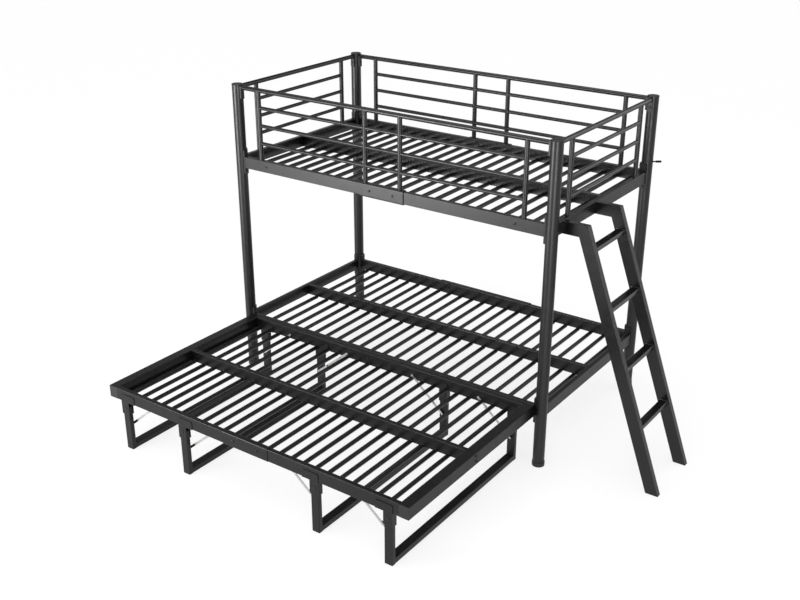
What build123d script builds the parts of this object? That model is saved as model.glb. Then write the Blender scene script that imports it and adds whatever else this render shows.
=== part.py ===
from build123d import *
import math
import os

os.makedirs("parts", exist_ok=True)

# Frame of the model, in millimetres.
# The origin is the centre of the front left post's foot, on the floor.
# +X runs along the bed, +Y from the front towards the back, +Z up.
# The trundle stands in front of the bunk, at negative Y.

# Posts
post_spacing_x = 1940.0
post_spacing_y = 1047.0
post_radius = 30.0
post_wall = 1.5
post_top_z = 1690.0
post_seam_z = 985.0
spigot_length = 160.0
spigot_wall = 2.0
cap_lip = 1.2
cap_height = 5.0
cap_edge_radius = 2.5
cap_plug_depth = 22.0
foot_floor = 4.0
foot_height = 24.0
foot_wall = 2.2
foot_edge_radius = 2.5

# Clearances
seat_gap = 0.2
hole_gap = 0.3
running_gap = 0.06
side_gap = 0.3
splice_gap = 0.4

# Rectangular rails of both decks and of the trundle
rail_height = 64.5
rail_width = 25.0
rail_wall = 1.5
rail_corner = 3.0
splice_bar_length = 180.0
sleeve_wall = 2.0
deep_sleeve_wall = 4.5

# Bunk decks
upper_rail_bottom_z = 1225.0
lower_rail_bottom_z = 273.3
bunk_slat_count = 23
bunk_slat_inset = 78.0
upper_slat_lift = 11.0
lower_slat_lift = -1.7
slat_radius = 10.8
slat_wall = 1.0
upper_sleeve_length = 276.0
lower_sleeve_length = 636.0
sleeve_bolt_inset = 65.0
rail_bolt_inset = 190.0

# Saddle plates between the rail ends and the posts
saddle_thickness = 6.0
saddle_width = 27.0
saddle_below = 35.0
saddle_above = 39.5
saddle_corner = 5.0

# Button head bolts and their nuts
bolt_radius = 4.0
bolt_head_radius = 6.5
bolt_head_height = 4.5
bolt_head_edge = 2.0
bolt_socket_radius = 2.9
bolt_socket_depth = 2.4
nut_radius = 6.5
nut_height = 5.0

# Guards
guard_tube_radius = 12.5
guard_tube_wall = 1.2
guard_top_drop = 18.0
guard_bar_radius = 10.0
guard_bar_wall = 1.0
guard_bar_pitch = 98.0
guard_bar_drop = 94.0
guard_bar_count = 3
guard_end_inset_x = 150.0
guard_middle_half_x = 108.0
guard_end_inset_y = 147.0
guard_saddle_below = 62.5
guard_saddle_width = 25.0
guard_bolt_drop = 36.0

# Ladder
stile_depth = 61.5
stile_width = 30.0
stile_wall = 1.5
stile_edge_radius = 1.4
stile_lean_degrees = 20.0
stile_lift = 1.0
stile_arm_reach = 100.0
stile_front_y = 77.0
stile_pitch_y = 343.0
stile_plug_depth = 30.0
rung_depth = 42.0
rung_height = 23.0
rung_wall = 1.5
rung_corner = 4.0
rung_count = 4
rung_first_z = 330.0
rung_pitch_z = 282.0

# Peg on the back right post
peg_z = 1341.0
peg_tilt_degrees = 10.0
peg_neck_radius = 3.75
peg_neck_length = 18.0
peg_knob_radius = 6.0
peg_knob_length = 30.0
peg_end_radius = 2.5

# Trundle
trundle_post_gap = 1.0
trundle_depth = 1077.5
trundle_rear_gap = 6.0
trundle_rail_bottom_z = 275.5
trundle_end_width = 55.0
trundle_slat_count = 25
trundle_slat_inset = 74.9
trundle_slat_lift = 2.1
trundle_sleeve_length = 283.0
trundle_beam_bolt_pitch = 26.0
end_plug_depth = 18.0

# Folding legs of the trundle
leg_inset_outer = 109.5
leg_inset_inner = 521.0
leg_width = 43.5
leg_thickness = 24.4
leg_wall = 1.5
leg_corner = 3.0
leg_bar_height = 30.0
pin_drop = 35.5
pin_radius = 5.0
pin_head_radius = 8.0
pin_head_height = 1.5
hinge_plate_thickness = 3.0
hinge_plate_top = 42.0
hinge_plate_narrow = 25.0
hinge_plate_wide = 70.0
hinge_plate_below = 70.0
hinge_plate_corner = 9.0

# Folding stays of the legs
stay_thickness = 3.0
stay_half_width = 6.0
stay_layer_gap = 0.5
stay_rivet_radius = 3.0
stay_rivet_head_radius = 5.5
stay_rivet_head_height = 1.5
stay_foot_drop = 106.5
stay_reach = 151.0
stay_rise = 18.8
stay_lower_length = 76.0
stay_tail = 13.0
stay_tab_thickness = 2.5
stay_tab_reach = 48.0
stay_tab_rise = 39.5

# Cuts run past the faces that they open by this much
overrun = 1.0

# Places worked out from the sizes above
middle_x = post_spacing_x / 2
middle_y = post_spacing_y / 2
beam_front_y = middle_y - rail_width / 2
beam_back_y = middle_y + rail_width / 2
post_inner_radius = post_radius - post_wall
saddle_face = post_radius + saddle_thickness
upper_rail_top_z = upper_rail_bottom_z + rail_height
guard_axis_z = post_top_z - guard_top_drop
guard_saddle_bottom_z = guard_axis_z - guard_saddle_below

trundle_left_x = post_radius + trundle_post_gap
trundle_right_x = post_spacing_x - trundle_left_x
trundle_rear_y = -rail_width / 2 - trundle_rear_gap
trundle_front_y = trundle_rear_y - trundle_depth
trundle_middle_x = (trundle_left_x + trundle_right_x) / 2
trundle_middle_y = (trundle_front_y + trundle_rear_y) / 2
pin_z = trundle_rail_bottom_z - pin_drop

X = Vector(1, 0, 0)
Y = Vector(0, 1, 0)
Z = Vector(0, 0, 1)

corners = {
    "front_left": (0, 0),
    "front_right": (post_spacing_x, 0),
    "back_left": (0, post_spacing_y),
    "back_right": (post_spacing_x, post_spacing_y),
}


def save(name, pieces):
    """Write one node, with one solid for each physical piece."""
    solids = [solid for piece in pieces for solid in piece.solids()]
    export_step(Compound(solids), f"parts/{name}.step")


def fuse(pieces):
    """Weld several shapes into one solid."""
    return pieces[0].fuse(*pieces[1:]) if len(pieces) > 1 else pieces[0]


def cut(body, tools):
    """Take every tool away from the body."""
    return body.cut(*tools)


def block(x_span, y_span, z_span):
    """A box between pairs of coordinates."""
    size = [span[1] - span[0] for span in (x_span, y_span, z_span)]
    centre = [(span[0] + span[1]) / 2 for span in (x_span, y_span, z_span)]
    return Pos(*centre) * Box(*size)


def rod(start, end, radius):
    """A round bar between two points."""
    run = Vector(*end) - Vector(*start)
    return extrude(Plane(origin=start, z_dir=run) * Circle(radius), run.length)


def pipe(start, end, radius, wall):
    """A round tube between two points."""
    run = Vector(*end) - Vector(*start)
    ring = Circle(radius) - Circle(radius - wall)
    return extrude(Plane(origin=start, z_dir=run) * ring, run.length)


def beam_plane(start, run, up):
    """A plane across a beam, its local Y pointing up."""
    return Plane(origin=start, x_dir=up.cross(run), z_dir=run)


def box_bar(start, end, width, height, corner, up=Z):
    """A bar of rounded rectangular section between two points."""
    run = Vector(*end) - Vector(*start)
    section = RectangleRounded(width, height, corner)
    return extrude(beam_plane(start, run, up) * section, run.length)


def box_tube(start, end, width, height, wall, corner, up=Z):
    """A hollow bar of rounded rectangular section between two points."""
    run = Vector(*end) - Vector(*start)
    inner_corner = corner - wall
    section = RectangleRounded(width, height, corner)
    section -= RectangleRounded(width - 2 * wall, height - 2 * wall, inner_corner)
    return extrude(beam_plane(start, run, up) * section, run.length)


def rail(start, end, width=rail_width):
    """A deck rail between two points on its centre line."""
    return box_tube(start, end, width, rail_height, rail_wall, rail_corner)


def rail_halves(x_start, x_end, y, z):
    """A rail along X in two halves that meet at mid length."""
    joint = (x_start + x_end) / 2
    return [
        rail((x_start, y, z), (joint - splice_gap / 2, y, z)),
        rail((joint + splice_gap / 2, y, z), (x_end, y, z)),
    ]


def bolt(seat, out, grip):
    """A button head bolt: the head rests on the seat and points out."""
    head = Cylinder(bolt_head_radius, bolt_head_height, align=(Align.CENTER, Align.CENTER, Align.MIN))
    head = fillet(head.edges().sort_by(Axis.Z)[-1], bolt_head_edge)
    socket = RegularPolygon(bolt_socket_radius, 6)
    head -= extrude(Pos(0, 0, bolt_head_height) * socket, -bolt_socket_depth)
    shank = Cylinder(bolt_radius, grip, align=(Align.CENTER, Align.CENTER, Align.MAX))
    return Plane(origin=seat, z_dir=out) * (head + shank)


def bolt_hole(seat, out, depth):
    """The clearance hole of a bolt, from just above its seat."""
    start = Vector(*seat) + out * overrun
    end = Vector(*seat) - out * depth
    return rod(start, end, bolt_radius + hole_gap)


def nut(seat, out):
    """A round flanged nut whose base rests on the seat, on the bolt's end."""
    start = Vector(*seat)
    return pipe(start, start + out * nut_height, nut_radius, nut_radius - bolt_radius - running_gap)


def slat_places(x_start, x_end, inset, count):
    """Even places of the slats between two ends."""
    first = x_start + inset
    pitch = (x_end - inset - first) / (count - 1)
    return [first + index * pitch for index in range(count)]


def slat_rows(places, rows, z):
    """Round slats along Y: one in each row at each place."""
    return [
        pipe((x, y_start, z), (x, y_end, z), slat_radius, slat_wall)
        for x in places
        for y_start, y_end in rows
    ]


# Saddle plates

def saddle(post, out, z_bottom, z_top, width):
    """A plate with a hollow back that fits the post and a flat face for the rail."""
    outline = RectangleRounded(width, z_top - z_bottom, saddle_corner)
    centre = Vector(post[0], post[1], (z_bottom + z_top) / 2)
    plate = extrude(beam_plane(centre, out, Z) * outline, saddle_face)
    foot = Vector(post[0], post[1], z_bottom - overrun)
    return plate - rod(foot, foot + Z * (z_top - z_bottom + 2 * overrun), post_radius + seat_gap)


def toward(post, axis):
    """The direction along an axis from a post to the middle of the bed."""
    middle = Vector(middle_x, middle_y, 0)
    sign = math.copysign(1, (middle - Vector(post[0], post[1], 0)).dot(axis))
    return axis * sign


def nut_depth():
    """How far from the post's centre a flat nut rests on its curved wall."""
    return math.sqrt(post_inner_radius**2 - nut_radius**2) - seat_gap


saddles = []
post_bolt_seats = []
guard_bolt_seats = []
for post in corners.values():
    for axis in (X, Y):
        out = toward(post, axis)
        face = Vector(post[0], post[1], 0) + out * saddle_face
        for rail_bottom_z in (lower_rail_bottom_z, upper_rail_bottom_z):
            rail_top_z = rail_bottom_z + rail_height
            plate = saddle(post, out, rail_bottom_z - saddle_below, rail_top_z + saddle_above, saddle_width)
            seats = [
                face + Z * (rail_bottom_z - saddle_below / 2),
                face + Z * (rail_top_z + saddle_above / 2),
            ]
            saddles.append(cut(plate, [bolt_hole(seat, out, saddle_face) for seat in seats]))
            post_bolt_seats += [(post, out, seat) for seat in seats]
        guard_bolt_seats.append((post, out, face + Z * (guard_axis_z - guard_bolt_drop)))

save("post_saddles", saddles)

all_post_seats = post_bolt_seats + guard_bolt_seats
post_bolt_grip = saddle_face - nut_depth() + nut_height
bolts = [bolt(seat, out, post_bolt_grip) for post, out, seat in all_post_seats]
nuts = []
for post, out, seat in all_post_seats:
    base = Vector(post[0], post[1], seat.Z) + out * nut_depth()
    nuts.append(nut(base, out * -1))


# Posts, feet, caps and spigots

def post_holes(corner_post):
    """The bolt holes through one side of a post."""
    return [bolt_hole(seat, out, saddle_face) for post, out, seat in all_post_seats if post == corner_post]


upper_post_top_z = post_top_z - cap_height
peg_tilt = math.radians(peg_tilt_degrees)
peg_run = Vector(math.cos(peg_tilt), 0, math.sin(peg_tilt))
peg_seat = Vector(*corners["back_right"], peg_z) + X * post_radius
peg_root = peg_seat - peg_run * 2 * post_wall
peg_knob_start = peg_seat + peg_run * peg_neck_length
peg_knob_end = peg_knob_start + peg_run * peg_knob_length
feet = []
caps = []
spigots = []
for corner_name, post in corners.items():
    x, y = post
    lower = pipe((x, y, foot_floor), (x, y, post_seam_z), post_radius, post_wall)
    save(f"lower_post_{corner_name}", [cut(lower, post_holes(post))])
    upper = pipe((x, y, post_seam_z + seat_gap), (x, y, upper_post_top_z), post_radius, post_wall)
    holes = post_holes(post)
    if corner_name == "back_right":
        holes.append(rod(peg_root, peg_seat + peg_run * overrun, peg_neck_radius + hole_gap))
    save(f"upper_post_{corner_name}", [cut(upper, holes)])

    foot_radius = post_radius + seat_gap + foot_wall
    foot = rod((x, y, 0), (x, y, foot_height), foot_radius)
    foot = fillet(foot.edges().filter_by(GeomType.CIRCLE).sort_by(Axis.Z)[0], foot_edge_radius)
    feet.append(foot - rod((x, y, foot_floor), (x, y, foot_height + overrun), post_radius + seat_gap))

    cap = rod((x, y, upper_post_top_z), (x, y, post_top_z), post_radius + cap_lip)
    cap = fillet(cap.edges().filter_by(GeomType.CIRCLE).sort_by(Axis.Z)[-1], cap_edge_radius)
    plug = pipe(
        (x, y, upper_post_top_z - cap_plug_depth),
        (x, y, upper_post_top_z),
        post_inner_radius - seat_gap,
        post_wall,
    )
    caps.append(cap + plug)

    spigots.append(
        pipe(
            (x, y, post_seam_z - spigot_length / 2),
            (x, y, post_seam_z + spigot_length / 2),
            post_inner_radius - seat_gap,
            spigot_wall,
        )
    )

save("foot_caps", feet)
save("post_caps", caps)

peg_knob = rod(peg_knob_start, peg_knob_end, peg_knob_radius)
peg_knob = fillet(peg_knob.edges().filter_by(GeomType.CIRCLE), peg_end_radius)
save("post_peg", [peg_knob + rod(peg_root, peg_knob_end - peg_run * peg_end_radius, peg_neck_radius)])


# Decks of the bunk

def splice_bar(x, y, z):
    """A flat bar inside the two halves of a middle beam."""
    width = rail_width - 2 * (rail_wall + seat_gap)
    height = rail_height - 2 * (rail_wall + seat_gap)
    half = splice_bar_length / 2
    return box_tube((x - half, y, z), (x + half, y, z), width, height, rail_wall, rail_corner)


def rail_sleeve(x, y, z, length, wall, out):
    """A channel over the joint of a rail, open towards the slats."""
    half = length / 2
    proud = seat_gap + wall
    reach = rail_width / 2 + proud
    height = rail_height + 2 * proud
    channel = box_bar((x - half, y, z), (x + half, y, z), 2 * reach, height, rail_corner + proud)
    room = box_bar(
        (x - half - overrun, y, z),
        (x + half + overrun, y, z),
        rail_width + 2 * seat_gap,
        rail_height + 2 * seat_gap,
        rail_corner,
    )
    inner_face = y - out * rail_width / 2
    far_face = y - out * (reach + overrun)
    mouth = block(
        (x - half - overrun, x + half + overrun),
        sorted((inner_face, far_face)),
        (z - height, z + height),
    )
    return channel - room - mouth


def through_bolt(x, y, z, out, head_proud):
    """A bolt and nut through a rail, with the head on the out side."""
    direction = Y * out
    seat = Vector(x, y, z) + direction * (rail_width / 2 + head_proud)
    tail = Vector(x, y, z) - direction * (rail_width / 2)
    grip = (seat - tail).length + nut_height
    return bolt(seat, direction, grip), nut(tail, direction * -1)


def side_hole(x, y, z):
    """A bolt hole along Y through a rail and what lies on it."""
    reach = Y * (rail_width + deep_sleeve_wall)
    centre = Vector(x, y, z)
    return rod(centre - reach, centre + reach, bolt_radius + hole_gap)


# Out is the side that the sleeve's back and the bolt heads are on: -1 front, 1 back.
# The side next to the trundle has a thin sleeve, and its bolt heads are on the inside.
sleeves = []
splices = list(spigots)
inner_rows = [
    (rail_width / 2, beam_front_y),
    (beam_back_y, post_spacing_y - rail_width / 2),
]


def bunk_deck(prefix, rail_bottom_z, slat_lift, sleeve_length, front_is_tight):
    """One deck: rails, middle beam, slats, sleeves and rail bolts."""
    z = rail_bottom_z + rail_height / 2
    x_start = saddle_face
    x_end = post_spacing_x - saddle_face
    half = sleeve_length / 2
    for side, y, out in (("front", 0, -1), ("back", post_spacing_y, 1)):
        tight = side == "front" and front_is_tight
        sleeve_thickness = sleeve_wall if tight else deep_sleeve_wall
        sleeve_places = [middle_x - half + sleeve_bolt_inset, middle_x + half - sleeve_bolt_inset]
        plain_places = [rail_bolt_inset, post_spacing_x - rail_bolt_inset]
        holes = [side_hole(place, y, z) for place in sleeve_places + plain_places]
        halves = [cut(piece, holes) for piece in rail_halves(x_start, x_end, y, z)]
        save(f"{prefix}_{side}_rail", halves)
        sleeves.append(cut(rail_sleeve(middle_x, y, z, sleeve_length, sleeve_thickness, out), holes))
        head_places = [(place, seat_gap + sleeve_thickness) for place in sleeve_places]
        head_places += [(place, 0) for place in plain_places]
        for place, head_proud in head_places:
            if tight:
                bolts.append(inside_bolt(place, y, z, -out))
            else:
                screw, lock = through_bolt(place, y, z, out, head_proud)
                bolts.append(screw)
                nuts.append(lock)
    for side, x in (("left", 0), ("right", post_spacing_x)):
        end_rail = rail((x, saddle_face, z), (x, post_spacing_y - saddle_face, z))
        if side == "right" and prefix == "upper":
            end_rail = cut(end_rail, ladder_holes)
        save(f"{prefix}_{side}_end_rail", [end_rail])
    beam = rail_halves(rail_width / 2, post_spacing_x - rail_width / 2, middle_y, z)
    save(f"{prefix}_middle_beam", beam)
    splices.append(splice_bar(middle_x, middle_y, z))
    places = slat_places(0, post_spacing_x, bunk_slat_inset, bunk_slat_count)
    save(f"{prefix}_slats", slat_rows(places, inner_rows, rail_bottom_z + slat_lift))


def inside_bolt(x, y, z, head_side):
    """A bolt with its head inside the deck and its end flush in the outer wall."""
    direction = Y * head_side
    seat = Vector(x, y, z) + direction * (rail_width / 2)
    return bolt(seat, direction, rail_width)


# Ladder

lean = math.radians(stile_lean_degrees)
stile_start_x = post_spacing_x + rail_width / 2
stile_foot_width = stile_depth / math.cos(lean)
bend_shift = stile_depth * math.tan((math.pi / 2 - lean) / 2)
inner_bend_x = post_spacing_x + stile_arm_reach
stile_drop_z = upper_rail_bottom_z + stile_lift
stile_top_z = stile_drop_z + stile_depth
foot_inner_x = inner_bend_x + stile_drop_z * math.tan(lean)
foot_outer_x = foot_inner_x + stile_foot_width
stile_ys = [stile_front_y + index * stile_pitch_y for index in range(2)]


def stile_outline(inset, end_run):
    """The bent outline of a stile in the XZ plane, drawn in by an inset."""
    cos = math.cos(lean)
    tan = math.tan(lean)
    side = inset / cos
    low_z = inset * math.tan((math.pi / 2 - lean) / 2)
    start_x = stile_start_x - end_run
    bottom_z = -end_run
    inner_foot_x = foot_inner_x + side - bottom_z * tan
    outer_foot_x = foot_outer_x - side - bottom_z * tan
    arm_low = stile_drop_z + inset
    arm_high = stile_top_z - inset
    points = [
        (start_x, arm_low),
        (inner_bend_x + low_z, arm_low),
        (inner_foot_x, bottom_z),
        (outer_foot_x, bottom_z),
        (inner_bend_x + bend_shift - low_z, arm_high),
        (start_x, arm_high),
    ]
    return make_face(Plane.XZ * Polyline(*points, close=True))


def stile(y_front):
    """A bent rectangular tube, open at the rail and at the floor."""
    shell = extrude(Pos(0, y_front, 0) * stile_outline(0, 0), stile_width, dir=(0, 1, 0))
    long_edges = shell.faces().sort_by(Axis.Y)
    rims = [edge for face in (long_edges[0], long_edges[-1]) for edge in face.edges()]
    rims = [edge for edge in rims if edge.center().X > stile_start_x + seat_gap]
    rims = [edge for edge in rims if edge.center().Z > seat_gap]
    shell = fillet(rims, stile_edge_radius)
    room_width = stile_width - 2 * stile_wall
    room = extrude(
        Pos(0, y_front + stile_wall, 0) * stile_outline(stile_wall, overrun), room_width, dir=(0, 1, 0)
    )
    return shell - room


def stile_centre_x(z):
    """The stile's centre line at a height below its bend."""
    return foot_inner_x - z * math.tan(lean) + stile_foot_width / 2


def ladder_bolt_seats():
    """Places of the bolts through the end rail into the stiles' end plates."""
    z = upper_rail_bottom_z + rail_height / 2
    return [Vector(post_spacing_x - rail_width / 2, y + stile_width / 2, z) for y in stile_ys]


ladder_holes = [bolt_hole(seat, X * -1, rail_width + overrun) for seat in ladder_bolt_seats()]

for stile_name, y_front in zip(("front", "back"), stile_ys):
    save(f"ladder_{stile_name}_stile", [stile(y_front)])

rungs = []
rung_y_start = stile_front_y + stile_width
rung_y_end = stile_front_y + stile_pitch_y
for index in range(rung_count):
    z = rung_first_z + index * rung_pitch_z - rung_height / 2
    x = stile_centre_x(z)
    rungs.append(
        box_tube((x, rung_y_start, z), (x, rung_y_end, z), rung_depth, rung_height, rung_wall, rung_corner)
    )
save("ladder_rungs", rungs)


def stile_plug(y_front):
    """A plug that closes the lower end of a stile, flush with the floor."""
    inset = stile_wall + seat_gap
    width = stile_width - 2 * inset
    body = extrude(Pos(0, y_front + inset, 0) * stile_outline(inset, 0), width, dir=(0, 1, 0))
    keep = block((0, 2 * foot_outer_x), (y_front, y_front + stile_width), (0, stile_plug_depth))
    return body & keep


save("ladder_foot_plugs", [stile_plug(y) for y in stile_ys])

for seat in ladder_bolt_seats():
    plate_x = stile_start_x + stile_wall
    bolts.append(bolt(seat, X * -1, plate_x + nut_height - seat.X))
    nuts.append(nut(Vector(plate_x, seat.Y, seat.Z), X))

bunk_deck("upper", upper_rail_bottom_z, upper_slat_lift, upper_sleeve_length, False)
bunk_deck("lower", lower_rail_bottom_z, lower_slat_lift, lower_sleeve_length, True)
save("rail_sleeves", sleeves)
save("inner_splices", splices)


# Guards

def guard_frame(start_post, end_post, out, uprights):
    """A welded guard: top tube, thin bars, uprights and the saddles at its ends."""
    start = Vector(start_post[0], start_post[1], 0)
    end = Vector(end_post[0], end_post[1], 0)
    top_start = start + out * saddle_face + Z * guard_axis_z
    top_end = end - out * saddle_face + Z * guard_axis_z
    solid_bars = [rod(top_start, top_end, guard_tube_radius)]
    bores = [rod(top_start, top_end, guard_tube_radius - guard_tube_wall)]
    for place, foot_z in uprights:
        foot = start + out * place + Z * foot_z
        head = start + out * place + Z * guard_axis_z
        solid_bars.append(rod(foot, head, guard_tube_radius))
        bores.append(rod(foot - Z * overrun, head, guard_tube_radius - guard_tube_wall))
    first, last = uprights[0][0], uprights[-1][0]
    for index in range(guard_bar_count):
        z = guard_axis_z - guard_bar_drop - index * guard_bar_pitch
        bar_start = start + out * first + Z * z
        bar_end = start + out * last + Z * z
        solid_bars.append(rod(bar_start, bar_end, guard_bar_radius))
        bores.append(rod(bar_start, bar_end, guard_bar_radius - guard_bar_wall))
    frame = cut(fuse(solid_bars), bores)
    ends = []
    top_z = guard_axis_z + guard_tube_radius
    for post, inward in ((start_post, out), (end_post, out * -1)):
        plate = saddle(post, inward, guard_saddle_bottom_z, top_z, guard_saddle_width)
        seat = Vector(post[0], post[1], guard_axis_z - guard_bolt_drop) + inward * saddle_face
        ends.append(cut(plate, [bolt_hole(seat, inward, saddle_face)]))
    return fuse([frame] + ends)


sleeve_top_z = upper_rail_top_z + seat_gap + deep_sleeve_wall
long_uprights = [
    (guard_end_inset_x, upper_rail_top_z),
    (middle_x - guard_middle_half_x, sleeve_top_z),
    (middle_x + guard_middle_half_x, sleeve_top_z),
    (post_spacing_x - guard_end_inset_x, upper_rail_top_z),
]
short_uprights = [
    (guard_end_inset_y, upper_rail_top_z),
    (post_spacing_y - guard_end_inset_y, upper_rail_top_z),
]
save("guard_front", [guard_frame(corners["front_left"], corners["front_right"], X, long_uprights)])
save("guard_back", [guard_frame(corners["back_left"], corners["back_right"], X, long_uprights)])
save("guard_left_end", [guard_frame(corners["front_left"], corners["back_left"], Y, short_uprights)])
save("guard_right_end", [guard_frame(corners["front_right"], corners["back_right"], Y, short_uprights)])

save("bunk_bolts", bolts)
save("bunk_nuts", nuts)


# Trundle frame

trundle_rail_z = trundle_rail_bottom_z + rail_height / 2
front_rail_y = trundle_front_y + rail_width / 2
rear_rail_y = trundle_rear_y - rail_width / 2
rails_start_x = trundle_left_x + trundle_end_width
rails_end_x = trundle_right_x - trundle_end_width
trundle_bolts = []
trundle_sleeves = [splice_bar(trundle_middle_x, trundle_middle_y, trundle_rail_z)]

for side, y, out in (("front", front_rail_y, -1), ("rear", rear_rail_y, 1)):
    half = trundle_sleeve_length / 2
    places = [trundle_middle_x - half + sleeve_bolt_inset, trundle_middle_x + half - sleeve_bolt_inset]
    holes = [side_hole(place, y, trundle_rail_z) for place in places]
    halves = [cut(piece, holes) for piece in rail_halves(rails_start_x, rails_end_x, y, trundle_rail_z)]
    save(f"trundle_{side}_rail", halves)
    sleeve = rail_sleeve(
        trundle_middle_x, y, trundle_rail_z, trundle_sleeve_length, sleeve_wall, out
    )
    trundle_sleeves.append(cut(sleeve, holes))
    for place in places:
        if side == "front":
            screw, lock = through_bolt(place, y, trundle_rail_z, out, seat_gap + sleeve_wall)
            trundle_bolts += [screw, lock]
        else:
            trundle_bolts.append(inside_bolt(place, y, trundle_rail_z, -out))
save("trundle_sleeves", trundle_sleeves)

end_rail_inner = trundle_end_width / 2
beam_bolt_zs = [
    trundle_rail_z - trundle_beam_bolt_pitch / 2,
    trundle_rail_z + trundle_beam_bolt_pitch / 2,
]
end_plugs = []
for side, x, out in (
    ("left", trundle_left_x + end_rail_inner, -1),
    ("right", trundle_right_x - end_rail_inner, 1),
):
    end_rail = rail(
        (x, trundle_front_y, trundle_rail_z), (x, trundle_rear_y, trundle_rail_z), trundle_end_width
    )
    seats = [Vector(x + out * end_rail_inner, trundle_middle_y, z) for z in beam_bolt_zs]
    end_rail = cut(end_rail, [bolt_hole(seat, X * out, trundle_end_width + overrun) for seat in seats])
    save(f"trundle_{side}_end_rail", [end_rail])
    trundle_bolts += [bolt(seat, X * out, trundle_end_width + nut_height) for seat in seats]
    for seat in seats:
        trundle_bolts.append(nut(seat - X * out * trundle_end_width, X * -out))
    for y, inward in ((trundle_front_y, Y), (trundle_rear_y, Y * -1)):
        width = trundle_end_width - 2 * (rail_wall + seat_gap)
        height = rail_height - 2 * (rail_wall + seat_gap)
        start = Vector(x, y, trundle_rail_z)
        end_plugs.append(box_bar(start, start + inward * end_plug_depth, width, height, rail_wall))
save("trundle_end_plugs", end_plugs)
save("trundle_bolts", trundle_bolts)

save(
    "trundle_middle_beam",
    rail_halves(rails_start_x, rails_end_x, trundle_middle_y, trundle_rail_z),
)
trundle_rows = [
    (trundle_front_y + rail_width, trundle_middle_y - rail_width / 2),
    (trundle_middle_y + rail_width / 2, trundle_rear_y - rail_width),
]
trundle_places = slat_places(trundle_left_x, trundle_right_x, trundle_slat_inset, trundle_slat_count)
trundle_slat_z = trundle_rail_bottom_z + trundle_slat_lift


# Folding legs
# Each leg has its place along X and the way that it folds: 1 towards +X, -1 towards -X.

legs = [
    (trundle_left_x + leg_inset_outer, 1),
    (trundle_left_x + leg_inset_inner, 1),
    (trundle_right_x - leg_inset_inner, -1),
    (trundle_right_x - leg_inset_outer, -1),
]
rail_centres = (front_rail_y, rear_rail_y)


def leg(x):
    """A U of two uprights and a floor bar, with the pin bores at its tops."""
    top_z = pin_z + leg_width / 2
    room_width = leg_width - 2 * leg_wall
    room_thickness = leg_thickness - 2 * leg_wall
    shells = []
    rooms = []
    bores = []
    for y in rail_centres:
        shaft = box_bar((x, y, 0), (x, y, top_z), leg_width, leg_thickness, leg_corner, Y)
        corner_cut = block(
            (x - leg_width, x + leg_width), (y - leg_thickness, y + leg_thickness), (pin_z, top_z + overrun)
        )
        reach = Y * leg_thickness
        centre = Vector(x, y, pin_z)
        round_end = rod(centre - reach, centre + reach, leg_width / 2)
        shells.append(shaft - (corner_cut - round_end))
        rooms.append(
            box_bar((x, y, leg_wall), (x, y, top_z + overrun), room_width, room_thickness, leg_wall, Y)
        )
        bores.append(rod(centre - reach, centre + reach, pin_radius + running_gap))
        inner_side = Y * math.copysign(leg_thickness, trundle_middle_y - y)
        stay_pivot = Vector(x, y, pin_z - stay_foot_drop)
        bores.append(rod(stay_pivot, stay_pivot + inner_side, stay_rivet_radius + running_gap))
    bar_start = (x, front_rail_y, leg_bar_height / 2)
    bar_end = (x, rear_rail_y, leg_bar_height / 2)
    shells.append(box_bar(bar_start, bar_end, leg_width, leg_bar_height, leg_corner))
    rooms.append(box_bar(bar_start, bar_end, room_width, leg_bar_height - 2 * leg_wall, leg_wall))
    return cut(fuse(shells), rooms + bores)


def hinge_plate(x, fold, y_start, y_end):
    """A plate beside a leg top: wide on the rail, narrow below it."""
    low = trundle_rail_bottom_z - hinge_plate_below
    middle = trundle_rail_bottom_z
    top = trundle_rail_bottom_z + hinge_plate_top
    back = x - fold * hinge_plate_narrow
    front = x + fold * hinge_plate_narrow
    far = x + fold * hinge_plate_wide
    points = [(back, low), (front, low), (front, middle), (far, middle), (far, top), (back, top)]
    outline = make_face(Plane.XZ * Polyline(*points, close=True))
    plate = extrude(Pos(0, y_start, 0) * outline, y_end - y_start, dir=(0, 1, 0))
    rounded = [edge for edge in plate.edges().filter_by(Axis.Y) if edge.center().Z > top - seat_gap]
    plate = fillet(rounded, hinge_plate_corner)
    return plate - rod((x, y_start - overrun, pin_z), (x, y_end + overrun, pin_z), pin_radius + running_gap)


def hinge_pin(x, y):
    """A pin through both plates of a leg, with a low head at each end."""
    half = rail_width / 2 + hinge_plate_thickness + seat_gap
    shaft = rod((x, y - half, pin_z), (x, y + half, pin_z), pin_radius)
    for sign in (-1, 1):
        face = y + sign * half
        shaft += rod((x, face, pin_z), (x, face + sign * pin_head_height, pin_z), pin_head_radius)
    return shaft


def hinge_web(x, fold, y):
    """The wall that joins both plates behind the leg, below the rail."""
    half = rail_width / 2 + hinge_plate_thickness
    near = x - fold * (leg_width / 2 + side_gap)
    far = x - fold * hinge_plate_narrow
    low = trundle_rail_bottom_z - hinge_plate_below
    return block(sorted((near, far)), (y - half, y + half), (low, trundle_rail_bottom_z))


def slat_room(x, inner_face, inward):
    """Clearance holes in an inner plate for the slats that pass through it."""
    near = [place for place in trundle_places if abs(place - x) < hinge_plate_wide + 2 * slat_radius]
    start = Y * (inner_face - inward * overrun)
    end = Y * (inner_face + inward * (hinge_plate_thickness + overrun))
    centres = [Vector(place, 0, trundle_slat_z) for place in near]
    return [rod(centre + start, centre + end, slat_radius + side_gap) for centre in centres]


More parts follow.
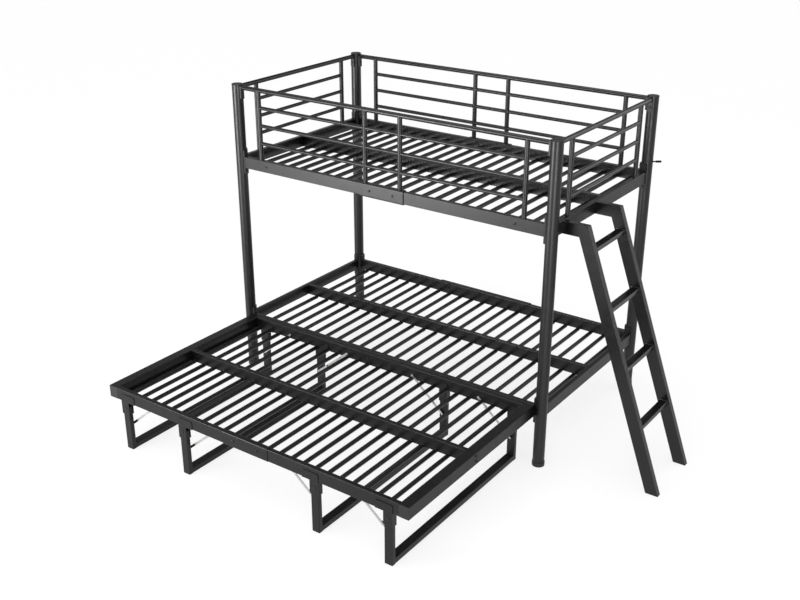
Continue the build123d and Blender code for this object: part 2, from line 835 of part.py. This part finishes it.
plates = []
pins = []
for index, (x, fold) in enumerate(legs, start=1):
    save(f"leg_{index}", [leg(x)])
    for y, inward in zip(rail_centres, (1, -1)):
        outer_face = y - inward * rail_width / 2
        inner_face = y + inward * rail_width / 2
        plate_step = inward * hinge_plate_thickness
        outer = hinge_plate(x, fold, *sorted((outer_face - plate_step, outer_face)))
        inner = hinge_plate(x, fold, *sorted((inner_face, inner_face + plate_step)))
        bracket = fuse([outer, inner, hinge_web(x, fold, y)])
        plates.append(cut(bracket, slat_room(x, inner_face, inward)))
        pins.append(hinge_pin(x, y))
save("leg_hinge_pins", pins)
save("leg_hinge_plates", plates)


# Stays
# The lower link turns on the leg and the upper link on the foot of a tab.
# The tab is a strip on the rail that runs up between the rail and the slats' ends.
# The upper link lies next to the hinge plate and the lower link lies behind it.
# The upper link's tail runs on past the knee, along the lower link.

stay_low_z = pin_z - stay_foot_drop
stay_high_z = pin_z + stay_rise
stay_angle = math.atan2(stay_high_z - stay_low_z, stay_reach)
stay_upper_length = stay_reach / math.cos(stay_angle) - stay_lower_length
inner_plate_face = rail_width / 2 + hinge_plate_thickness
upper_layer = inner_plate_face + stay_layer_gap
lower_layer = upper_layer + stay_thickness + stay_layer_gap


def side_rod(centre, y_start, y_end, radius):
    """A round rod along Y through a point of the XZ plane."""
    return rod(centre + Y * y_start, centre + Y * y_end, radius)


def flat_link(start, end, y_start, y_end):
    """A flat bar with round ends between two points of the XZ plane."""
    run = end - start
    across = Vector(run.Z, 0, -run.X).normalized() * stay_half_width
    points = [start + across, end + across, end - across, start - across]
    corners_xz = [(point.X, point.Z) for point in points]
    strip = make_face(Plane.XZ * Polyline(*corners_xz, close=True))
    low, high = sorted((y_start, y_end))
    body = extrude(Pos(0, low, 0) * strip, high - low, dir=(0, 1, 0))
    for point in (start, end):
        body += side_rod(point, low, high, stay_half_width)
    return body


tabs = []
strips = []
for index, (x, fold) in enumerate(legs, start=1):
    along = Vector(fold * math.cos(stay_angle), 0, math.sin(stay_angle))
    foot = Vector(x, 0, stay_low_z)
    knee = foot + along * stay_lower_length
    tail_tip = knee - along * stay_tail
    high = foot + along * (stay_lower_length + stay_upper_length)
    tab_top = high + X * fold * stay_tab_reach + Z * stay_tab_rise
    lower_links = []
    upper_links = []
    for y, inward in zip(rail_centres, (1, -1)):
        leg_face = y + inward * leg_thickness / 2
        rail_face = y + inward * rail_width / 2
        upper_start = y + inward * upper_layer
        upper_end = upper_start + inward * stay_thickness
        lower_start = y + inward * lower_layer
        lower_end = lower_start + inward * stay_thickness
        head = inward * stay_rivet_head_height
        seat = inward * seat_gap

        lower = flat_link(foot, knee, lower_start, lower_end)
        spacer = side_rod(foot, leg_face + inward * running_gap, lower_start, stay_rivet_head_radius)
        pivot_head = side_rod(foot, lower_end, lower_end + head, stay_rivet_head_radius)
        knee_head = side_rod(knee, lower_end, lower_end + head, stay_rivet_head_radius)
        wall_end = leg_face - inward * leg_wall - seat
        shank = side_rod(foot, wall_end, lower_start, stay_rivet_radius)
        shank_end = side_rod(foot, wall_end - head, wall_end, stay_rivet_head_radius)
        lower_links.append(fuse([lower, spacer, pivot_head, knee_head, shank, shank_end]))

        upper = flat_link(tail_tip, high, upper_start, upper_end)
        pivot_hole = side_rod(high, upper_start, upper_end, stay_rivet_radius + running_gap)
        upper_links.append(upper - pivot_hole)

        tab_end = rail_face + inward * stay_tab_thickness
        strip = flat_link(high, tab_top, rail_face, tab_end)
        rivet = side_rod(tab_top, tab_end, tab_end + head, stay_rivet_head_radius)
        post = side_rod(high, tab_end, upper_start - seat, stay_rivet_head_radius)
        pivot = side_rod(high, tab_end, upper_end + seat, stay_rivet_radius)
        cap = side_rod(high, upper_end + seat, upper_end + seat + head, stay_rivet_head_radius)
        strips.append(strip)
        tabs.append(fuse([strip, rivet, post, pivot, cap]))
    save(f"stay_lower_{index}", lower_links)
    save(f"stay_upper_{index}", upper_links)
save("stay_tabs", tabs)

slats = slat_rows(trundle_places, trundle_rows, trundle_slat_z)
save("trundle_slats", [cut(slat, strips) for slat in slats])

print("stay angle", round(math.degrees(stay_angle), 3), "upper link length", round(stay_upper_length, 2))
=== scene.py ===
import bmesh
import bpy
import math
from mathutils import Matrix, Vector


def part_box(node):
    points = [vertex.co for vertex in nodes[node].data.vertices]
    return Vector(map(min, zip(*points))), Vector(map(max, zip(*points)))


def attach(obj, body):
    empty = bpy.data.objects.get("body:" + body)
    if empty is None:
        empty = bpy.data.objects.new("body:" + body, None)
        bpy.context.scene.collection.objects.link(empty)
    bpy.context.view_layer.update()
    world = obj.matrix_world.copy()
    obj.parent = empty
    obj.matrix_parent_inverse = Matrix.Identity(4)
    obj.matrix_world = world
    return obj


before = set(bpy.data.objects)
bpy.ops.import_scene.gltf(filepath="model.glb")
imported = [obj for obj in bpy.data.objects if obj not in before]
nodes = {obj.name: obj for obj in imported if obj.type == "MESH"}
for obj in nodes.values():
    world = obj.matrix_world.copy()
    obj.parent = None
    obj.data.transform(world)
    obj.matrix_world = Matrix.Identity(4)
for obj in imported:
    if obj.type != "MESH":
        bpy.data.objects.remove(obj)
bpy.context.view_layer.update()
print("frame loaded", len(nodes), "nodes")


# Building blocks of the shaders

def feed(tree, socket, item):
    # links the output of another node, or stores a constant on the socket itself
    if isinstance(item, bpy.types.NodeSocket):
        tree.links.new(item, socket)
    else:
        socket.default_value = item


def newGroup(name, inputs):
    group = bpy.data.node_groups.new(name, "ShaderNodeTree")
    for label, kind, default in inputs:
        socket = group.interface.new_socket(name=label, in_out="INPUT", socket_type=kind)
        socket.default_value = default
    for label, kind in (
        ("Color", "NodeSocketColor"), ("Roughness", "NodeSocketFloat"), ("Height", "NodeSocketFloat"),
    ):
        group.interface.new_socket(name=label, in_out="OUTPUT", socket_type=kind)
    start = group.nodes.new("NodeGroupInput")
    end = group.nodes.new("NodeGroupOutput")
    return group, start, end


def addNoise(tree, vector, scale, detail, roughness=0.5):
    noise = tree.nodes.new("ShaderNodeTexNoise")
    feed(tree, noise.inputs["Vector"], vector)
    feed(tree, noise.inputs["Scale"], scale)
    feed(tree, noise.inputs["Detail"], detail)
    feed(tree, noise.inputs["Roughness"], roughness)
    return noise.outputs["Fac"]


def addRange(tree, value, low, high, toLow, toHigh):
    mapRange = tree.nodes.new("ShaderNodeMapRange")
    mapRange.clamp = True
    feed(tree, mapRange.inputs["Value"], value)
    feed(tree, mapRange.inputs["From Min"], low)
    feed(tree, mapRange.inputs["From Max"], high)
    feed(tree, mapRange.inputs["To Min"], toLow)
    feed(tree, mapRange.inputs["To Max"], toHigh)
    return mapRange.outputs["Result"]


def addMath(tree, operation, first, second):
    node = tree.nodes.new("ShaderNodeMath")
    node.operation = operation
    feed(tree, node.inputs[0], first)
    feed(tree, node.inputs[1], second)
    return node.outputs[0]


def addMix(tree, factor, first, second):
    mix = tree.nodes.new("ShaderNodeMix")
    mix.data_type = "RGBA"
    feed(tree, mix.inputs["Factor"], factor)
    feed(tree, mix.inputs[6], first)  # sockets 6 and 7 are the two colours
    feed(tree, mix.inputs[7], second)
    return mix.outputs[2]  # and 2 is the mixed one


def splitVector(tree, vector):
    split = tree.nodes.new("ShaderNodeSeparateXYZ")
    feed(tree, split.inputs[0], vector)
    return split.outputs


def surfaceNormal(tree):
    return splitVector(tree, tree.nodes.new("ShaderNodeNewGeometry").outputs["Normal"])


# Powder coat

powderEffect = {
    "driftScale": 3.0, "driftDetail": 3.0, "driftShare": 0.7,
    "cloudScale": 26.0, "cloudDetail": 4.0, "cloudRoughness": 0.6, "cloudShare": 0.3,
    "cloudLow": 0.3, "cloudHigh": 0.7,
    "peelDetail": 2.0,
    "speckScale": 1900.0, "speckDetail": 1.0, "speckLow": 0.66, "speckHigh": 0.8,
    "speckMost": 0.15, "speckHeight": 0.25, "speckColour": (0.12, 0.12, 0.122, 1),
    "dustScale": 60.0, "dustDetail": 5.0, "dustRoughness": 0.65, "dustLow": 0.4, "dustHigh": 0.75,
    "dustLeast": 0.2, "dustDulls": 0.5, "dustColour": (0.3, 0.29, 0.28, 1),
    "slopeStart": 0.6, "slopeFull": 0.98,
}


def makePowderCoatGroup():
    # fine orange peel, broad tone drift, small specks and settled dust on upward faces
    group, start, end = newGroup("powderCoat", [
        ("Vector", "NodeSocketVector", (0, 0, 0)),
        ("Dark", "NodeSocketColor", (0.02, 0.02, 0.021, 1)),
        ("Light", "NodeSocketColor", (0.05, 0.05, 0.052, 1)),
        ("Peel Scale", "NodeSocketFloat", 700.0),
        ("Smooth", "NodeSocketFloat", 0.3),
        ("Rough", "NodeSocketFloat", 0.42),
        ("Dust", "NodeSocketFloat", 0.1),
    ])
    look = powderEffect
    given = start.outputs
    vector = given["Vector"]
    drift = addNoise(group, vector, look["driftScale"], look["driftDetail"])
    cloud = addNoise(group, vector, look["cloudScale"], look["cloudDetail"], look["cloudRoughness"])
    peel = addNoise(group, vector, given["Peel Scale"], look["peelDetail"])
    speck = addNoise(group, vector, look["speckScale"], look["speckDetail"])
    settled = addNoise(group, vector, look["dustScale"], look["dustDetail"], look["dustRoughness"])

    driftPart = addMath(group, "MULTIPLY", drift, look["driftShare"])
    cloudPart = addMath(group, "MULTIPLY", cloud, look["cloudShare"])
    blend = addMath(group, "ADD", driftPart, cloudPart)
    tone = addMix(group, blend, given["Dark"], given["Light"])
    speckMask = addRange(group, speck, look["speckLow"], look["speckHigh"], 0.0, look["speckMost"])
    tone = addMix(group, speckMask, tone, look["speckColour"])

    upward = addRange(group, surfaceNormal(group)["Z"], look["slopeStart"], look["slopeFull"], 0.0, 1.0)
    settled = addRange(group, settled, look["dustLow"], look["dustHigh"], look["dustLeast"], 1.0)
    dust = addMath(group, "MULTIPLY", addMath(group, "MULTIPLY", upward, settled), given["Dust"])
    tone = addMix(group, dust, tone, look["dustColour"])

    rough = addRange(group, cloud, look["cloudLow"], look["cloudHigh"], given["Smooth"], given["Rough"])
    rough = addMath(group, "ADD", rough, addMath(group, "MULTIPLY", dust, look["dustDulls"]))
    height = addMath(group, "ADD", peel, addMath(group, "MULTIPLY", speck, look["speckHeight"]))
    feed(group, end.inputs["Color"], tone)
    feed(group, end.inputs["Roughness"], rough)
    feed(group, end.inputs["Height"], height)
    return group


# Zinc plating

zincEffect = {
    "patchScale": 90.0, "patchDetail": 3.0, "patchRoughness": 0.7,
    "patchLow": 0.35, "patchHigh": 0.7, "patchMost": 0.8,
    "smudgeScale": 22.0, "smudgeDetail": 4.0, "smudgeRoughness": 0.6, "smudgeLow": 0.3, "smudgeHigh": 0.7,
    "smooth": 0.26, "rough": 0.46,
    "lineStretch": (60.0, 900.0, 900.0), "lineScale": 1.0, "lineDetail": 2.0,
}


def makeZincPlateGroup():
    # bright zinc: faint crystal patches, fine draw lines and dull smudges
    group, start, end = newGroup("zincPlate", [
        ("Vector", "NodeSocketVector", (0, 0, 0)),
        ("Tone", "NodeSocketColor", (0.62, 0.62, 0.6, 1)),
        ("Shade", "NodeSocketColor", (0.42, 0.42, 0.41, 1)),
    ])
    look = zincEffect
    given = start.outputs
    vector = given["Vector"]
    patch = addNoise(group, vector, look["patchScale"], look["patchDetail"], look["patchRoughness"])
    smudge = addNoise(group, vector, look["smudgeScale"], look["smudgeDetail"], look["smudgeRoughness"])
    stretch = group.nodes.new("ShaderNodeMapping")
    feed(group, stretch.inputs["Vector"], vector)
    feed(group, stretch.inputs["Scale"], look["lineStretch"])
    lines = addNoise(group, stretch.outputs["Vector"], look["lineScale"], look["lineDetail"])
    patchMask = addRange(group, patch, look["patchLow"], look["patchHigh"], 0.0, look["patchMost"])
    rough = addRange(group, smudge, look["smudgeLow"], look["smudgeHigh"], look["smooth"], look["rough"])
    feed(group, end.inputs["Color"], addMix(group, patchMask, given["Tone"], given["Shade"]))
    feed(group, end.inputs["Roughness"], rough)
    feed(group, end.inputs["Height"], lines)
    return group


powderCoat = makePowderCoatGroup()
zincPlate = makeZincPlateGroup()
print("shader effects made")


# Materials

blackTones = {"Dark": (0.0015, 0.0015, 0.0017, 1), "Light": (0.0045, 0.0045, 0.0048, 1), "Dust": 0.008}
coats = {
    "frameCoat": {**blackTones, "Peel Scale": 650.0, "Smooth": 0.25, "Rough": 0.33},
    "satinCoat": {**blackTones, "Peel Scale": 650.0, "Smooth": 0.32, "Rough": 0.42},
    "tubeCoat": {**blackTones, "Peel Scale": 700.0, "Smooth": 0.32, "Rough": 0.42},
    "ladderCoat": {**blackTones, "Peel Scale": 650.0, "Smooth": 0.2, "Rough": 0.28},
    "weldCoat": {**blackTones, "Peel Scale": 420.0, "Smooth": 0.3, "Rough": 0.42},
    "slatCoat": {
        "Dark": (0.001, 0.001, 0.0012, 1), "Light": (0.0035, 0.0035, 0.0038, 1), "Dust": 0.006,
        "Peel Scale": 800.0, "Smooth": 0.32, "Rough": 0.44,
    },
    "boltCoat": {
        "Dark": (0.002, 0.002, 0.002, 1), "Light": (0.008, 0.008, 0.0085, 1), "Dust": 0.005,
        "Peel Scale": 1500.0, "Smooth": 0.25, "Rough": 0.38,
    },
    "mouldedPlastic": {
        "Dark": (0.003, 0.003, 0.003, 1), "Light": (0.007, 0.007, 0.007, 1), "Dust": 0.015,
        "Peel Scale": 1200.0, "Smooth": 0.42, "Rough": 0.56,
    },
}
coatShine = {"satinCoat": 0.36, "others": 0.5}
coatRelief = {"strength": 0.1, "distance": 0.0002}
plating = {"Tone": (0.66, 0.66, 0.65, 1), "Shade": (0.5, 0.5, 0.49, 1)}
platingRelief = {"strength": 0.12, "distance": 0.0001}
# painted shade: how far a face of the lower stay link must turn away from its rail before the painted
# black gives way to bare plating
stayShadeMask = {"start": 0.1, "full": 0.2}


def addEffect(tree, group, vector, values):
    effect = tree.nodes.new("ShaderNodeGroup")
    effect.node_tree = group
    effect.name = group.name
    feed(tree, effect.inputs["Vector"], vector)
    for label, value in values.items():
        feed(tree, effect.inputs[label], value)
    return effect.outputs


def newMaterial(name, group, metallic, relief, values):
    material = bpy.data.materials.new(name)
    material.use_nodes = True
    tree = material.node_tree
    shader = tree.nodes["Principled BSDF"]
    place = tree.nodes.new("ShaderNodeTexCoord")
    effect = addEffect(tree, group, place.outputs["Object"], values)
    bump = tree.nodes.new("ShaderNodeBump")
    feed(tree, bump.inputs["Strength"], relief["strength"])
    feed(tree, bump.inputs["Distance"], relief["distance"])
    feed(tree, bump.inputs["Height"], effect["Height"])
    feed(tree, shader.inputs["Metallic"], metallic)
    feed(tree, shader.inputs["Base Color"], effect["Color"])
    feed(tree, shader.inputs["Roughness"], effect["Roughness"])
    feed(tree, shader.inputs["Normal"], bump.outputs["Normal"])
    return material


def makeCoats():
    for name, values in coats.items():
        material = newMaterial(name, powderCoat, 0.0, coatRelief, values)
        shine = material.node_tree.nodes["Principled BSDF"].inputs["Specular IOR Level"]
        shine.default_value = coatShine.get(name, coatShine["others"])


def makeStayMaterial():
    # the lower stay link: faces turned towards its rail get black coat as painted shade, faces turned
    # away from it are bare plated steel
    low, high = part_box("trundle_left_end_rail")
    tree = newMaterial("stayShadeCoat", powderCoat, 0.0, coatRelief, coats["frameCoat"]).node_tree
    shader = tree.nodes["Principled BSDF"]
    place = tree.nodes["Texture Coordinate"].outputs["Object"]
    coat = tree.nodes["powderCoat"].outputs
    plate = addEffect(tree, zincPlate, place, plating)
    toMiddle = addMath(tree, "SUBTRACT", (low[1] + high[1]) / 2, splitVector(tree, place)["Y"])
    inward = addMath(tree, "MULTIPLY", toMiddle, surfaceNormal(tree)["Y"])
    # painted shade: black coat on the faces that turn towards the rail, plating on the rest
    shadeMask = addRange(tree, inward, stayShadeMask["start"], stayShadeMask["full"], 0.0, 1.0)
    rough = addRange(tree, shadeMask, 0.0, 1.0, coat["Roughness"], plate["Roughness"])
    feed(tree, shader.inputs["Base Color"], addMix(tree, shadeMask, coat["Color"], plate["Color"]))
    feed(tree, shader.inputs["Roughness"], rough)
    feed(tree, shader.inputs["Metallic"], shadeMask)


makeCoats()
newMaterial("platedSteel", zincPlate, 1.0, platingRelief, plating)
makeStayMaterial()
print("materials made", len(bpy.data.materials))


# Finish of each node

legNumbers = range(1, 5)
plainFinish = "frameCoat"
finishes = {
    "mouldedPlastic": ["foot_caps", "post_caps", "ladder_foot_plugs", "trundle_end_plugs"],
    "boltCoat": ["bunk_bolts", "bunk_nuts", "trundle_bolts", "leg_hinge_pins"],
    "platedSteel": ["inner_splices", "stay_tabs"] + [f"stay_upper_{number}" for number in legNumbers],
    # the lower stay links carry painted shade on the faces towards their rails
    "stayShadeCoat": [f"stay_lower_{number}" for number in legNumbers],
    "slatCoat": ["upper_slats", "lower_slats", "trundle_slats"],
    "ladderCoat": ["ladder_front_stile", "ladder_back_stile", "ladder_rungs"],
    "tubeCoat": ["upper_front_rail", "rail_sleeves"] + [
        node for node in nodes if "_post_" in node or node.startswith("guard_")
    ],
    "satinCoat": [
        "trundle_middle_beam", "trundle_right_end_rail", "trundle_front_rail", "trundle_rear_rail",
        "trundle_sleeves", "lower_right_end_rail", "upper_right_end_rail", "leg_hinge_plates",
    ] + [f"leg_{number}" for number in legNumbers],
}


def dressNodes():
    byNode = {node: name for name, group in finishes.items() for node in group}
    for node in nodes:
        material = bpy.data.materials[byNode.get(node, plainFinish)]
        slots = bpy.data.objects[node].data.materials
        slots.clear()
        slots.append(material)


dressNodes()
print("nodes dressed")


# Weld beads

def makePiece(name, mesh, body):
    bmesh.ops.recalc_face_normals(mesh, faces=mesh.faces)
    data = bpy.data.meshes.new(name)
    mesh.to_mesh(data)
    mesh.free()
    data.polygons.foreach_set("use_smooth", [True] * len(data.polygons))
    piece = bpy.data.objects.new(name, data)
    bpy.context.scene.collection.objects.link(piece)
    data.materials.append(bpy.data.materials["weldCoat"])
    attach(piece, body)


slatWelds = {
    "beadRadius": 0.0022,
    "beadSides": 5,
    "beadSteps": 8,
    "slatRadius": 0.0108,
    "standOff": 0.0008,
    "decks": {
        "upper": {"slats": 23, "arcStart": -60.0, "arcSweep": 300.0, "body": "bunk"},
        "lower": {"slats": 23, "arcStart": 8.0, "arcSweep": 164.0, "body": "bunk"},
        "trundle": {"slats": 25, "arcStart": -8.0, "arcSweep": 196.0, "body": "trundle"},
    },
}


def addBead(mesh, centre, arcStart, arcSweep):
    # a small ring section turned about the slat's axis and closed at both ends
    reach = slatWelds["slatRadius"] + slatWelds["standOff"]
    turn = Matrix.Rotation(-math.radians(arcStart), 4, "Y")
    place = Matrix.Translation(centre) @ turn @ Matrix.Translation((reach, 0, 0))
    ring = bmesh.ops.create_circle(
        mesh, segments=slatWelds["beadSides"], radius=slatWelds["beadRadius"], matrix=place,
    )["verts"]
    startEdges = list({edge for vert in ring for edge in vert.link_edges})
    turned = bmesh.ops.spin(
        mesh, geom=ring + startEdges, cent=centre, axis=(0, -1, 0),
        angle=math.radians(arcSweep), steps=slatWelds["beadSteps"],
    )
    endEdges = [item for item in turned["geom_last"] if isinstance(item, bmesh.types.BMEdge)]
    bmesh.ops.edgeloop_fill(mesh, edges=startEdges)
    bmesh.ops.edgeloop_fill(mesh, edges=endEdges)


def makeSlatWelds(deck, deckValues):
    # one bead at each end of every slat, on the rails and on the middle beam
    low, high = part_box(deck + "_slats")
    beamLow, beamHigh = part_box(deck + "_middle_beam")
    radius = slatWelds["slatRadius"]
    first, last = low[0] + radius, high[0] - radius
    faces = [(low[1], 1), (beamLow[1], -1), (beamHigh[1], 1), (high[1], -1)]
    mesh = bmesh.new()
    for index in range(deckValues["slats"]):
        x = first + (last - first) * index / (deckValues["slats"] - 1)
        for faceY, outward in faces:
            centre = Vector((x, faceY + outward * slatWelds["standOff"], (low[2] + high[2]) / 2))
            addBead(mesh, centre, deckValues["arcStart"], deckValues["arcSweep"])
    makePiece(deck + "SlatWelds", mesh, deckValues["body"])


for deckName, deckValues in slatWelds["decks"].items():
    makeSlatWelds(deckName, deckValues)
print("slat welds made")


rungWelds = {
    "rungs": 4,
    "grow": 0.0022,
    "depth": 0.003,
    "sunkShare": 0.25,
    "round": 0.0014,
    "roundSteps": 2,
    "slack": 0.001,
}


def addCollar(mesh, centre, size):
    block = bmesh.ops.create_cube(
        mesh, size=1.0, matrix=Matrix.Translation(centre) @ Matrix.Diagonal((*size, 1.0)),
    )["verts"]
    edges = list({edge for vert in block for edge in vert.link_edges})
    bmesh.ops.bevel(
        mesh, geom=edges, offset=rungWelds["round"], segments=rungWelds["roundSteps"],
        profile=0.5, affect="EDGES", material=-1,
    )


def makeRungWelds():
    # a rounded collar of weld around each end of each rung, against the stile
    rungs = bpy.data.objects["ladder_rungs"]
    points = [rungs.matrix_world @ vert.co for vert in rungs.data.vertices]
    rungLow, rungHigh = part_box("ladder_rungs")
    allHeight = rungHigh[2] - rungLow[2]
    grow, depth, slack = rungWelds["grow"], rungWelds["depth"], rungWelds["slack"]
    lift = depth * (0.5 - rungWelds["sunkShare"])
    mesh = bmesh.new()
    for index in range(rungWelds["rungs"]):
        floorZ = rungLow[2] + allHeight * index / rungWelds["rungs"] - slack
        ceilingZ = rungLow[2] + allHeight * (index + 1) / rungWelds["rungs"] + slack
        own = [point for point in points if floorZ <= point.z <= ceilingZ]
        low = Vector([min(point[axis] for point in own) for axis in range(3)])
        high = Vector([max(point[axis] for point in own) for axis in range(3)])
        size = (high.x - low.x + 2 * grow, depth, high.z - low.z + 2 * grow)
        middle = (low + high) / 2
        for faceY, outward in ((rungLow[1], 1), (rungHigh[1], -1)):
            addCollar(mesh, Vector((middle.x, faceY + outward * lift, middle.z)), size)
    makePiece("rungWelds", mesh, "bunk")


makeRungWelds()
print("rung welds made")


# Studio

studio = {
    "floorSize": 120.0,
    "floorColour": (0.9, 0.9, 0.9, 1),
    "floorRoughness": 0.9,
    "floorShine": 0.1,
    "floorGlow": 0.76,
    "viewGlow": 1.01,
    "mirrorGlow": 0.7,
    "skyColour": (1, 1, 1, 1),
    "horizonLevel": 1.0,
    "zenithLevel": 0.05,
    "horizonHeight": 0.0,
    "zenithHeight": 0.52,
    "aim": (0.9, 0.0, 0.9),
    "sky": {"place": (0.6, -0.9, 6.0), "strength": 2.9, "spread": 70.0},
    "lamps": {
        "frontLamp": {"place": (-1.8, -4.6, 0.75), "size": 1.6, "power": 225.0},
        "viewLamp": {"place": (4.5, -4.2, 0.75), "size": 2.0, "power": 140.0},
        "backLamp": {"place": (3.8, 4.0, 2.9), "size": 2.5, "power": 34.0},
    },
}


def makeFloorPaint():
    # pale paint that also glows by itself where the camera, a mirror or glass sees it
    material = bpy.data.materials.new("floorPaint")
    material.use_nodes = True
    tree = material.node_tree
    shader = tree.nodes["Principled BSDF"]
    feed(tree, shader.inputs["Base Color"], studio["floorColour"])
    feed(tree, shader.inputs["Roughness"], studio["floorRoughness"])
    feed(tree, shader.inputs["Specular IOR Level"], studio["floorShine"])
    rays = tree.nodes.new("ShaderNodeLightPath").outputs
    seen = addMath(tree, "MAXIMUM", rays["Is Camera Ray"], rays["Is Glossy Ray"])
    seen = addMath(tree, "MAXIMUM", seen, rays["Is Transmission Ray"])
    glow = tree.nodes.new("ShaderNodeEmission")
    level = addRange(tree, rays["Is Camera Ray"], 0.0, 1.0, studio["mirrorGlow"], studio["viewGlow"])
    feed(tree, glow.inputs["Strength"], level)
    blend = tree.nodes.new("ShaderNodeMixShader")
    feed(tree, blend.inputs[0], addMath(tree, "MULTIPLY", seen, studio["floorGlow"]))
    feed(tree, blend.inputs[1], shader.outputs[0])
    feed(tree, blend.inputs[2], glow.outputs[0])
    feed(tree, tree.nodes["Material Output"].inputs["Surface"], blend.outputs[0])
    return material


def makeFloor():
    bpy.ops.mesh.primitive_plane_add(size=studio["floorSize"], location=(0, 0, 0))
    floor = bpy.context.object
    floor.name = "studioFloor"
    floor.data.materials.append(makeFloorPaint())


def makeWorld():
    # white at the horizon and dark overhead
    world = bpy.data.worlds.new("studioWorld")
    bpy.context.scene.world = world
    world.use_nodes = True
    tree = world.node_tree
    background = tree.nodes["Background"]
    direction = tree.nodes.new("ShaderNodeTexCoord").outputs["Generated"]
    level = addRange(
        tree, splitVector(tree, direction)["Z"], studio["horizonHeight"], studio["zenithHeight"],
        studio["horizonLevel"], studio["zenithLevel"],
    )
    feed(tree, background.inputs["Color"], studio["skyColour"])
    feed(tree, background.inputs["Strength"], level)


def placeLamp(data, place):
    lamp = bpy.data.objects.new(data.name, data)
    bpy.context.scene.collection.objects.link(lamp)
    lamp.location = place
    toward = Vector(studio["aim"]) - lamp.location
    lamp.rotation_euler = toward.to_track_quat("-Z", "Y").to_euler()


def makeSkyLamp():
    # one broad overhead light, even over the whole floor
    data = bpy.data.lights.new("skyLamp", "SUN")
    data.energy = studio["sky"]["strength"]
    data.angle = math.radians(studio["sky"]["spread"])
    placeLamp(data, studio["sky"]["place"])


def makeLamp(name, lampValues):
    data = bpy.data.lights.new(name, "AREA")
    data.shape = "SQUARE"
    data.size = lampValues["size"]
    data.energy = lampValues["power"]
    placeLamp(data, lampValues["place"])


makeFloor()
makeWorld()
makeSkyLamp()
for lampName, lampValues in studio["lamps"].items():
    makeLamp(lampName, lampValues)
bpy.context.scene.view_settings.view_transform = "Standard"
print("studio ready")


# Camera

viewPoint = {
    "place": (4.091, -4.2166, 2.9816),
    "azimuth": 35.535,
    "elevation": 23.856,
    "lens": 48.68,
    "sensor": 36.0,
}


def makeCamera():
    data = bpy.data.cameras.new("viewCamera")
    data.lens = viewPoint["lens"]
    data.sensor_width = viewPoint["sensor"]
    camera = bpy.data.objects.new("viewCamera", data)
    bpy.context.scene.collection.objects.link(camera)
    turn = math.radians(viewPoint["azimuth"])
    tilt = math.radians(viewPoint["elevation"])
    back = Vector((math.sin(turn) * math.cos(tilt), -math.cos(turn) * math.cos(tilt), math.sin(tilt)))
    camera.location = viewPoint["place"]
    camera.rotation_euler = back.to_track_quat("Z", "Y").to_euler()
    bpy.context.scene.camera = camera


makeCamera()
print("camera placed")
